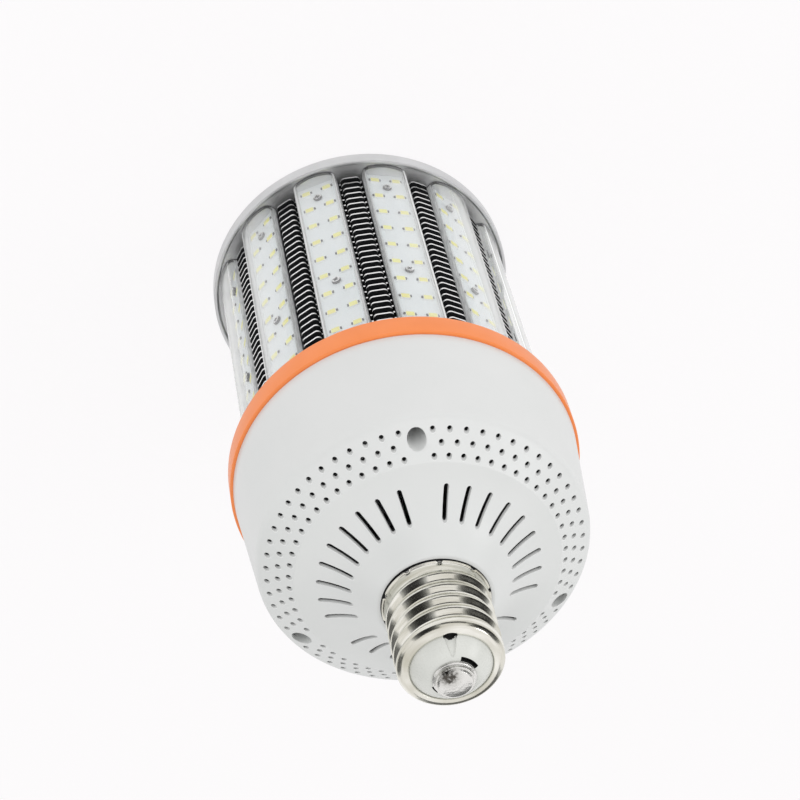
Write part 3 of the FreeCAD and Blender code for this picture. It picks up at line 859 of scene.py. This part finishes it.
def strip_covers():
    points, faces, finish = cover_shape()
    finishes = ["cover_clear", "cover_foot_shade", "cover_side_shade", "cover_edge"]
    for index in range(STRIPS):
        node = "strip_cover_%02d" % (index + 1)
        here = turned(points, strip_angle(index))
        piece("clear_" + node, here, faces, finishes, 40.0, node, finish)


strip_covers()


# LED chips: each has a white body, a yellow window and two dark spots at its ends.

BOARD_FACE = 56.1
CHIP_ROWS = 10
CHIP_FIRST = 11.2
CHIP_PITCH = 12.8
CHIP_ASIDE = 4.53

# Parts of a chip: across, along and outward, how far the top tapers, and the finish.
CHIP_PARTS = (
    ((-1.9, 1.9), (-1.5, 1.5), (0.0, 0.70), 0.08, 0),
    ((-1.68, 1.68), (-1.38, 1.38), (0.68, 0.79), 0.06, 1),
    ((-2.6, -1.8), (-1.2, -0.05), (0.0, 0.45), 0.03, 2),
    ((1.8, 2.6), (-1.2, -0.05), (0.0, 0.45), 0.03, 2),
)
BOX_FACES = ((0, 3, 2, 1), (4, 5, 6, 7), (0, 1, 5, 4), (1, 2, 6, 5), (2, 3, 7, 6), (3, 0, 4, 7))


def led_chips():
    points, faces, finish = [], [], []
    for index in range(STRIPS):
        for across in (-CHIP_ASIDE, CHIP_ASIDE):
            for row in range(CHIP_ROWS):
                along = CHIP_FIRST + CHIP_PITCH * row
                for (y0, y1), (z0, z1), heights, taper, kind in CHIP_PARTS:
                    first = len(points)
                    box = []
                    for height, t in zip(heights, (0.0, taper)):
                        left, right = across + y0 + t, across + y1 - t
                        low, high = along + z0 + t, along + z1 - t
                        x = height + BOARD_FACE
                        box += [(x, left, low), (x, right, low), (x, right, high), (x, left, high)]
                    points += turned(box, strip_angle(index))
                    faces += [tuple(first + k for k in face) for face in BOX_FACES]
                    finish += [kind] * len(BOX_FACES)
    piece("led_packages", points, faces, ["chip_white", "chip_yellow", "dark_spots_and_shade"], None, "led_chips",
          finish, "chip_yellow")


led_chips()


# Screws: pan heads with a cross recess.

HEAD_STEPS = 32
QUARTER = HEAD_STEPS // 4
HEAD_OUTLINE = ((0.86, 0.0), (0.88, 0.12), (1.0, 0.2), (1.0, 0.4), (0.96, 0.72), (0.87, 1.0))
CROSS_ARM = 0.54
CROSS_HALF = 0.14
CROSS_TAPER = 0.8
CROSS_FLOOR = 0.35
CROSS_POINTS = 12
SHADE_UNDER = 0.99

# Radius and height of each kind of head.
BOARD_HEAD = (1.9, 1.2)
WELL_HEAD = (2.7, 1.9)
CAP_HEAD = (2.5, 1.4)
BOARD_SCREW_LEVELS = (16.8, 81.0)
CAP_SCREW_CIRCLE = 48.0
CAP_SCREW_SEAT = 2.0


def pan_head(radius, height):
    """Points and faces of a head that sits on z = 0, with a cross-shaped pocket."""
    arm = radius * CROSS_ARM
    half = radius * CROSS_HALF
    points, faces = [], []
    for r, z in HEAD_OUTLINE:
        for k in range(HEAD_STEPS):
            a = 2 * math.pi * (k + 0.5) / HEAD_STEPS
            points.append((radius * r * math.cos(a), radius * r * math.sin(a), height * z))
    rim = len(points) - HEAD_STEPS
    for low in range(0, rim, HEAD_STEPS):
        faces += quads(low, low + HEAD_STEPS, HEAD_STEPS)
    cross = []
    for c, s in ((1, 0), (0, 1), (-1, 0), (0, -1)):
        for x, y in ((half, -half), (arm, -half), (arm, half)):
            cross.append((x * c - y * s, x * s + y * c))
    top = len(points)
    points += [(x, y, height) for x, y in cross]
    base = len(points)
    points += [(x * CROSS_TAPER, y * CROSS_TAPER, height * CROSS_FLOOR) for x, y in cross]
    for quarter in range(4):
        for k, (corner, following) in enumerate(zip((1, 1, 1, 1, 2, 2, 2, 2), (1, 1, 1, 2, 2, 2, 2, 3))):
            ring = quarter * QUARTER - QUARTER // 2 + k
            here = rim + ring % HEAD_STEPS
            there = rim + (ring + 1) % HEAD_STEPS
            a = top + (quarter * 3 + corner) % CROSS_POINTS
            b = top + (quarter * 3 + following) % CROSS_POINTS
            faces.append((here, there, a) if a == b else (here, there, b, a))
    for quarter in range(4):
        here = rim + (quarter * QUARTER - QUARTER // 2) % HEAD_STEPS
        before, inner, after = (top + (quarter * 3 + k) % CROSS_POINTS for k in (-1, 0, 1))
        faces.append((here, after, inner, before))
    faces += quads(top, base, CROSS_POINTS)
    faces.append(tuple(range(base, base + CROSS_POINTS)))
    return points, faces


def screw_set(name, node, places, radius, height):
    """All screws of one kind; places are (seat, outward direction, turn of the cross)."""
    points, faces, finish = [], [], []
    head, head_faces = pan_head(radius, height)
    # The sides of each head and its cross recess take a painted shade and painted dark reflection.
    shade = [int(min(head[k][2] for k in face) < height * SHADE_UNDER) for face in head_faces]
    for seat, outward, spin in places:
        turn = Vector((0, 0, 1)).rotation_difference(Vector(outward)).to_matrix()
        turn = turn @ Matrix.Rotation(spin, 3, "Z")
        first = len(points)
        points += [tuple(turn @ Vector(p) + Vector(seat)) for p in head]
        faces += [tuple(first + k for k in face) for face in head_faces]
        finish += shade
    piece(name, points, faces, ["screw_steel", "dark_spots_and_shade"], 40.0, node, finish)


def around(radius, angle, level):
    a = math.radians(angle)
    return (radius * math.cos(a), radius * math.sin(a), level)


def screws():
    boards = []
    for index in range(STRIPS):
        angle = strip_angle(index)
        for step, level in enumerate(BOARD_SCREW_LEVELS):
            spin = 0.5 + index + 0.7 * step
            boards.append((around(BOARD_FACE, angle, level), around(1, angle, 0), spin))
    screw_set("board_pan_heads", "board_screws", boards, *BOARD_HEAD)
    wells, caps = [], []
    for k in range(3):
        wells.append((around(WELL_CIRCLE, 90 + 120 * k, WELL_FLOOR), (0, 0, 1), 0.4 * k))
        seat = around(CAP_SCREW_CIRCLE, STRIP_TURN + 120 * k, CAP_SCREW_SEAT)
        caps.append((seat, (0, 0, -1), 0.9 * k))
    screw_set("well_pan_heads", "housing_screws", wells, *WELL_HEAD)
    screw_set("cap_pan_heads", "cap_screws", caps, *CAP_HEAD)


screws()


# Screw base: rolled shell with a helical thread, insulator and contact.

BASE_STEPS = 288
BASE_ANGLES = [360.0 * k / BASE_STEPS for k in range(BASE_STEPS)]
THREAD_PITCH = 6.35
THREAD_CREST = 19.75
THREAD_ROOT = 18.05
THREAD_LEVELS = (220.3, 250.7)
THREAD_ROW = 0.26
THREAD_END = 250.6
THREAD_FADE = 2.6
RUN_IN = 4
CREST_LEVEL = 224.5
CREST_ANGLE = 97.0
COLLAR_RADIUS = 19.6
COLLAR_TAPER = 0.15
COLLAR_FOOT = 219.2
LIP_RADIUS = 19.55
MOUTH_RADIUS = 15.0
NOTCH_ANGLE = 89.0
NOTCH_HALF = 10.5
NOTCH_DEPTH = 1.4
STAKES = (9.0, 45.1, 83.8, 119.5, 159.1, 195.0, 231.0, 267.0, 303.0, 338.0)
STAKE_HALF = 3.4

# Rows of the shell as (radius, height); those of the collar also say how deep and high a stake reaches.
SHELL_FOOT = ((17.4, 218.05), (18.3, 218.05), (18.3, 218.45))
SHELL_COLLAR = (
    (20.05, 218.45, 1.2, 0.0), (20.2, 218.55, 1.2, 0.0), (20.25, 218.72, 1.2, 0.0),
    (20.18, 218.9, 1.2, 0.0), (20.05, 218.97, 1.2, 0.0), (19.85, 219.0, 0.9, 0.2),
    (19.66, 219.08, 0.7, 0.2), (19.58, 219.3, 0.5, 0.2), (19.5, 219.85, 0.15, 0.2),
)
SHELL_LIP = (
    (19.5, 250.95), (19.3, 251.5), (18.9, 252.1), (18.35, 252.65), (17.6, 253.1), (16.8, 253.36),
    (16.0, 253.45), (15.4, 253.36), (15.08, 253.1), (15.0, 252.8), (15.15, 252.7), (17.4, 252.2),
    (17.4, 240.0), (17.4, 228.0),
)


def level_rows(places):
    """Rows of the same radius and height all round."""
    return [[place] * BASE_STEPS for place in places]


def rings(rows):
    """Points and faces of a closed band of rows; a row is a list of (radius, height) round the axis."""
    points = []
    for row in rows:
        for k, (radius, level) in enumerate(row):
            a = 2 * math.pi * k / BASE_STEPS
            points.append((radius * math.cos(a), radius * math.sin(a), level))
    faces = []
    for row in range(len(rows)):
        faces += quads(row * BASE_STEPS, (row + 1) % len(rows) * BASE_STEPS, BASE_STEPS)
    return points, faces


def thread_radius(angle, level):
    """Rolled thread that rises out of the collar and runs out under the lip."""
    turn = (level - CREST_LEVEL) / THREAD_PITCH - (angle - CREST_ANGLE) / 360.0
    wave = 0.5 + 0.5 * math.cos(2 * math.pi * turn)
    thread = THREAD_ROOT + (THREAD_CREST - THREAD_ROOT) * wave
    if turn < 0:
        collar = COLLAR_RADIUS - COLLAR_TAPER * (level - COLLAR_FOOT)
        thread = collar + (THREAD_CREST - collar) * max(0.0, 1 + RUN_IN * turn)
    fade = min(1.0, max(0.0, (THREAD_END - level) / THREAD_FADE))
    fade = fade * fade * (3 - 2 * fade)
    return LIP_RADIUS + (thread - LIP_RADIUS) * fade


def screw_shell():
    """Collar with its stakes, thread, rolled lip and a plain inner side."""
    mouths, stakes = [], []
    for angle in BASE_ANGLES:
        aside = apart(angle, NOTCH_ANGLE) / NOTCH_HALF
        mouths.append(MOUTH_RADIUS + NOTCH_DEPTH * math.sqrt(max(0.0, 1 - aside ** 2)))
        stakes.append(max(0.0, 1.0 - min(apart(angle, s) for s in STAKES) / STAKE_HALF))
    rows = level_rows(SHELL_FOOT)
    for radius, level, deep, high in SHELL_COLLAR:
        rows.append([(radius - deep * s, level + high * s) for s in stakes])
    level, end = THREAD_LEVELS
    while level < end:
        rows.append([(thread_radius(a, level), level) for a in BASE_ANGLES])
        level += THREAD_ROW
    for radius, level in SHELL_LIP:
        rows.append([(max(radius, mouth), level) for mouth in mouths])
    piece("shell_rolled", *rings(rows), ["shell_nickel"], 50.0, "screw_shell")


# The insulator's face falls from a boss under the contact to its rim under the lip.
DISC_FOOT = ((2.4, 247.0), (17.25, 247.0), (17.25, 251.2))
DISC_BOSS = ((7.8, 258.75), (2.4, 258.75))
DISC_RADII = (16.6, 7.9)
DISC_ROW = 0.17
DISC_SEEN = 16.62
FACE_LEVEL = 252.55
FACE_RISE = 6.2
FACE_INNER = 8.0
FACE_WIDTH = 7.0
RIM_SLOPE = 0.5
SHADE_BELOW = 2.25

# The scoop at the rim has a deep mouth and a tongue that narrows inward.
SCOOP_EDGE = 16.4
SCOOP_MOUTH = (2.9, 3.1)
SCOOP_DEPTH = 2.8
TONGUE_LENGTH = 7.0
TONGUE_HALF = 2.5
TONGUE_DEPTHS = (0.45, 1.7)

# Windows beside the contact: inner and outer radius, direction, half angle and depth.
WINDOWS = ((7.95, 9.4, 46.5, 24, 2.6), (7.95, 8.6, 211, 12, 2.4))


def insulator_top(radius):
    """Height of the insulator's face, from under the lip to the boss under the contact."""
    if radius > MOUTH_RADIUS:
        return FACE_LEVEL - (radius - MOUTH_RADIUS) * RIM_SLOPE
    return FACE_LEVEL + FACE_RISE * (1 - max(0.0, (radius - FACE_INNER) / FACE_WIDTH) ** 1.5)


def insulator_sink(radius, angle):
    """How deep the scoop at the rim and the two windows beside the contact go."""
    off = math.radians(angle - NOTCH_ANGLE)
    aside = radius * math.sin(off)
    inward = SCOOP_EDGE - radius * math.cos(off)
    if math.cos(off) > 0 and inward < TONGUE_LENGTH:
        if (aside / SCOOP_MOUTH[0]) ** 2 + (inward / SCOOP_MOUTH[1]) ** 2 < 1:
            return SCOOP_DEPTH
        left = 1 - inward / TONGUE_LENGTH
        if abs(aside) < TONGUE_HALF * left ** 0.6:
            return TONGUE_DEPTHS[0] + TONGUE_DEPTHS[1] * left
    for inner, outer, direction, half, depth in WINDOWS:
        if inner < radius < outer and apart(angle, direction) < half:
            return depth
    return 0.0


def insulator():
    rows = level_rows(DISC_FOOT)
    radius, inner = DISC_RADII
    while radius > inner:
        rows.append([(radius, insulator_top(radius) - insulator_sink(radius, a)) for a in BASE_ANGLES])
        radius -= DISC_ROW
    rows += level_rows(DISC_BOSS)
    points, faces = rings(rows)
    # Faces sunk deep into the scoop and the windows take the painted shade.
    finish = []
    for face in faces:
        sunk = 0.0
        for x, y, z in (points[k] for k in face):
            radius = math.hypot(x, y)
            if inner < radius < DISC_SEEN:
                sunk = max(sunk, insulator_top(radius) - z)
        finish.append(int(sunk > SHADE_BELOW))
    piece("insulator_disc", points, faces, ["insulator_white", "notch_shade"], 40.0, "base_insulator",
          finish)


CONTACT_CUP = (
    (0.0, 258.8), (7.75, 258.8), (7.9, 259.0), (7.85, 259.3), (7.7, 259.5), (7.45, 259.6), (7.25, 259.8),
    (7.2, 260.6), (7.3, 260.8), (7.25, 261.15), (7.0, 261.35), (6.7, 261.3), (6.45, 261.2),
)
BUTTON_STEPS = 20
BUTTON_EDGE = 6.3
BUTTON_ROUND = 6.6
BUTTON_FOOT = 261.2
BUTTON_RISE = 1.85
BUTTON_LIMIT = 263.35

# Lumps: where they are, their scale, how high they are all over and in the patch, and the patch's reach.
LUMPS_ABOVE = 261.1
LUMPS_WITHIN = 6.4
LUMP_SCALE = 0.55
LUMP_FINER = 2.3
LUMP_HEIGHTS = (0.05, 0.25)
LUMP_REACH = 4.5


def contact():
    """Cup ring and a tinned button, lumpy as solder is."""
    outline = list(CONTACT_CUP)
    for k in range(1, BUTTON_STEPS + 1):
        radius = BUTTON_EDGE * (1 - k / BUTTON_STEPS)
        rise = math.sqrt(max(0.0, 1 - (radius / BUTTON_ROUND) ** 2))
        outline.append((radius, BUTTON_FOOT + BUTTON_RISE * rise))
    points, faces = lathe(outline, 128)
    shaped = []
    for x, y, z in points:
        radius = math.hypot(x, y)
        if z > LUMPS_ABOVE and radius < LUMPS_WITHIN:
            place = Vector((x * LUMP_SCALE, y * LUMP_SCALE, 3.0))
            lump = lumpiness.noise(place) + 0.5 * lumpiness.noise(place * LUMP_FINER)
            near = max(0.0, 1.0 - math.dist((x, y), LUMP_CENTRE[:2]) / LUMP_REACH)
            z += (LUMP_HEIGHTS[0] + LUMP_HEIGHTS[1] * near) * lump * min(1.0, LUMPS_WITHIN - radius)
        shaped.append((x, y, min(z, BUTTON_LIMIT)))
    piece("contact_button", shaped, faces, ["contact_tin"], 50.0, "centre_contact")


screw_shell()
insulator()
contact()


# Floor, light and camera, in metres.

FLOOR_REACH = 6.0
FLOOR_GLOW = 0.88
WORLD_STRENGTH = 0.86
LIGHT_TARGET = (0, 0, 0.14)

# Cards: first and last angle, bottom and top, and how many tones they go down.
CARDS = ((100, 156, 0.06, 0.95, 4), (48, 104, 0.04, 0.38, 2), (-18, 48, 0.07, 0.70, 4),
         (186, 226, 0.08, 0.70, 2), (256, 306, 0.08, 0.70, 2))
CARD_TONES = (0.42, 0.14, 0.045, 0.010)
CARD_EDGE = 6.0
CARD_REACH = 0.75

SENSOR = 36.0
FOCAL_LENGTH = 106.90
CAMERA_PLACE = (-0.067773, 0.567063, 0.866634)
CAMERA_RIGHT = (0.987543, -0.067675, 0.142050)
CAMERA_UP = (0.138105, 0.805411, -0.576403)
CAMERA_BACK = (-0.075401, 0.588840, 0.804725)


def backdrop_rays(shading):
    """1 for the rays that see the backdrop: straight, in a reflection or through something clear."""
    path = shading.add("LightPath").outputs
    first = shading.compute("MAXIMUM", path["Is Camera Ray"], path["Is Glossy Ray"])
    return shading.compute("MAXIMUM", first, path["Is Transmission Ray"])


def mix_to(shading, output, share, first, second):
    """Mixes two shaders into the output."""
    mix = shading.add("MixShader", {"Fac": share, 1: first, 2: second})
    shading.fill(shading.nodes[output], {"Surface": mix.outputs["Shader"]})


def floor():
    mesh = bpy.data.meshes.new("floor")
    corners = ((-1, -1), (1, -1), (1, 1), (-1, 1))
    mesh.from_pydata([(x * FLOOR_REACH, y * FLOOR_REACH, 0) for x, y in corners], [], [(0, 1, 2, 3)])
    plane = placed("floor", mesh)
    shading = new_material("floor_pale")
    drift = shading.drift(shading.noise(3.0, 2.0), (0.86, 0.855, 0.86), (0.88, 0.875, 0.88))
    shading.shade({"Base Color": drift, "Roughness": 0.8})
    glow = shading.add("Emission", {"Color": (1.0, 0.985, 0.992, 1)})
    share = shading.compute("MULTIPLY", backdrop_rays(shading), FLOOR_GLOW)
    matt = shading.nodes["Principled BSDF"].outputs["BSDF"]
    mix_to(shading, "Material Output", share, matt, glow.outputs["Emission"])
    mesh.materials.append(materials["floor_pale"])


def world():
    studio = bpy.data.worlds.new("studio")
    bpy.context.scene.world = studio
    shading = Shading(studio)
    light = shading.nodes["Background"]
    shading.fill(light, {"Color": (0.99, 0.995, 0.99, 1), "Strength": WORLD_STRENGTH})
    seen = shading.add("Background", {"Color": (0.985, 0.967, 0.975, 1)})
    mix_to(shading, "World Output", backdrop_rays(shading), light.outputs["Background"],
           seen.outputs["Background"])


def dark_cards():
    """Cards round the set that only reflections show, so that bright metal has something to mirror."""
    mesh = bpy.data.meshes.new("dark_cards")
    points, faces, finish = [], [], []
    for start, end, low, high, darkest in CARDS:
        edges = [start + CARD_EDGE * k for k in range(darkest)]
        edges += [end - CARD_EDGE * k for k in reversed(range(darkest))]
        for index, (left, right) in enumerate(zip(edges, edges[1:])):
            first = len(points)
            for angle in (left, (left + right) / 2, right):
                x, y, z = around(CARD_REACH, angle, low)
                points += [(x, y, z), (x, y, high)]
            for k in (first, first + 2):
                faces.append((k, k + 2, k + 3, k + 1))
            finish += [min(index, len(edges) - 2 - index)] * 2
    mesh.from_pydata(points, [], faces)
    for shade in CARD_TONES:
        name = "card_%d" % round(1000 * shade)
        surface(name, (shade,) * 3, (shade * 1.2,) * 3, (0.7, 0.9), 200.0)
        mesh.materials.append(materials[name])
    mesh.polygons.foreach_set("material_index", finish)
    cards = placed("dark_cards", mesh)
    cards.visible_camera = False
    cards.visible_diffuse = False
    cards.visible_transmission = False
    cards.visible_shadow = False


def area_light(name, place, size, power, mirrored):
    lamp = bpy.data.lights.new(name, "AREA")
    lamp.shape = "RECTANGLE"
    lamp.size, lamp.size_y = size
    lamp.energy = power
    holder = placed(name, lamp)
    holder.location = place
    holder.rotation_euler = (Vector(LIGHT_TARGET) - Vector(place)).to_track_quat("-Z", "Y").to_euler()
    holder.visible_glossy = mirrored


def camera():
    lens = bpy.data.cameras.new("camera")
    lens.sensor_width = SENSOR
    lens.lens = FOCAL_LENGTH
    holder = placed("camera", lens)
    turn = Matrix((CAMERA_RIGHT, CAMERA_UP, CAMERA_BACK)).transposed().to_4x4()
    holder.matrix_world = Matrix.Translation(Vector(CAMERA_PLACE)) @ turn
    bpy.context.scene.camera = holder


floor()
world()
dark_cards()
area_light("key", (1.35, 0.35, 0.95), (0.6, 0.6), 3.4, True)
area_light("fill", (-0.55, 1.5, 1.0), (0.9, 0.9), 4.0, False)
camera()
bpy.context.scene.view_settings.view_transform = "Standard"
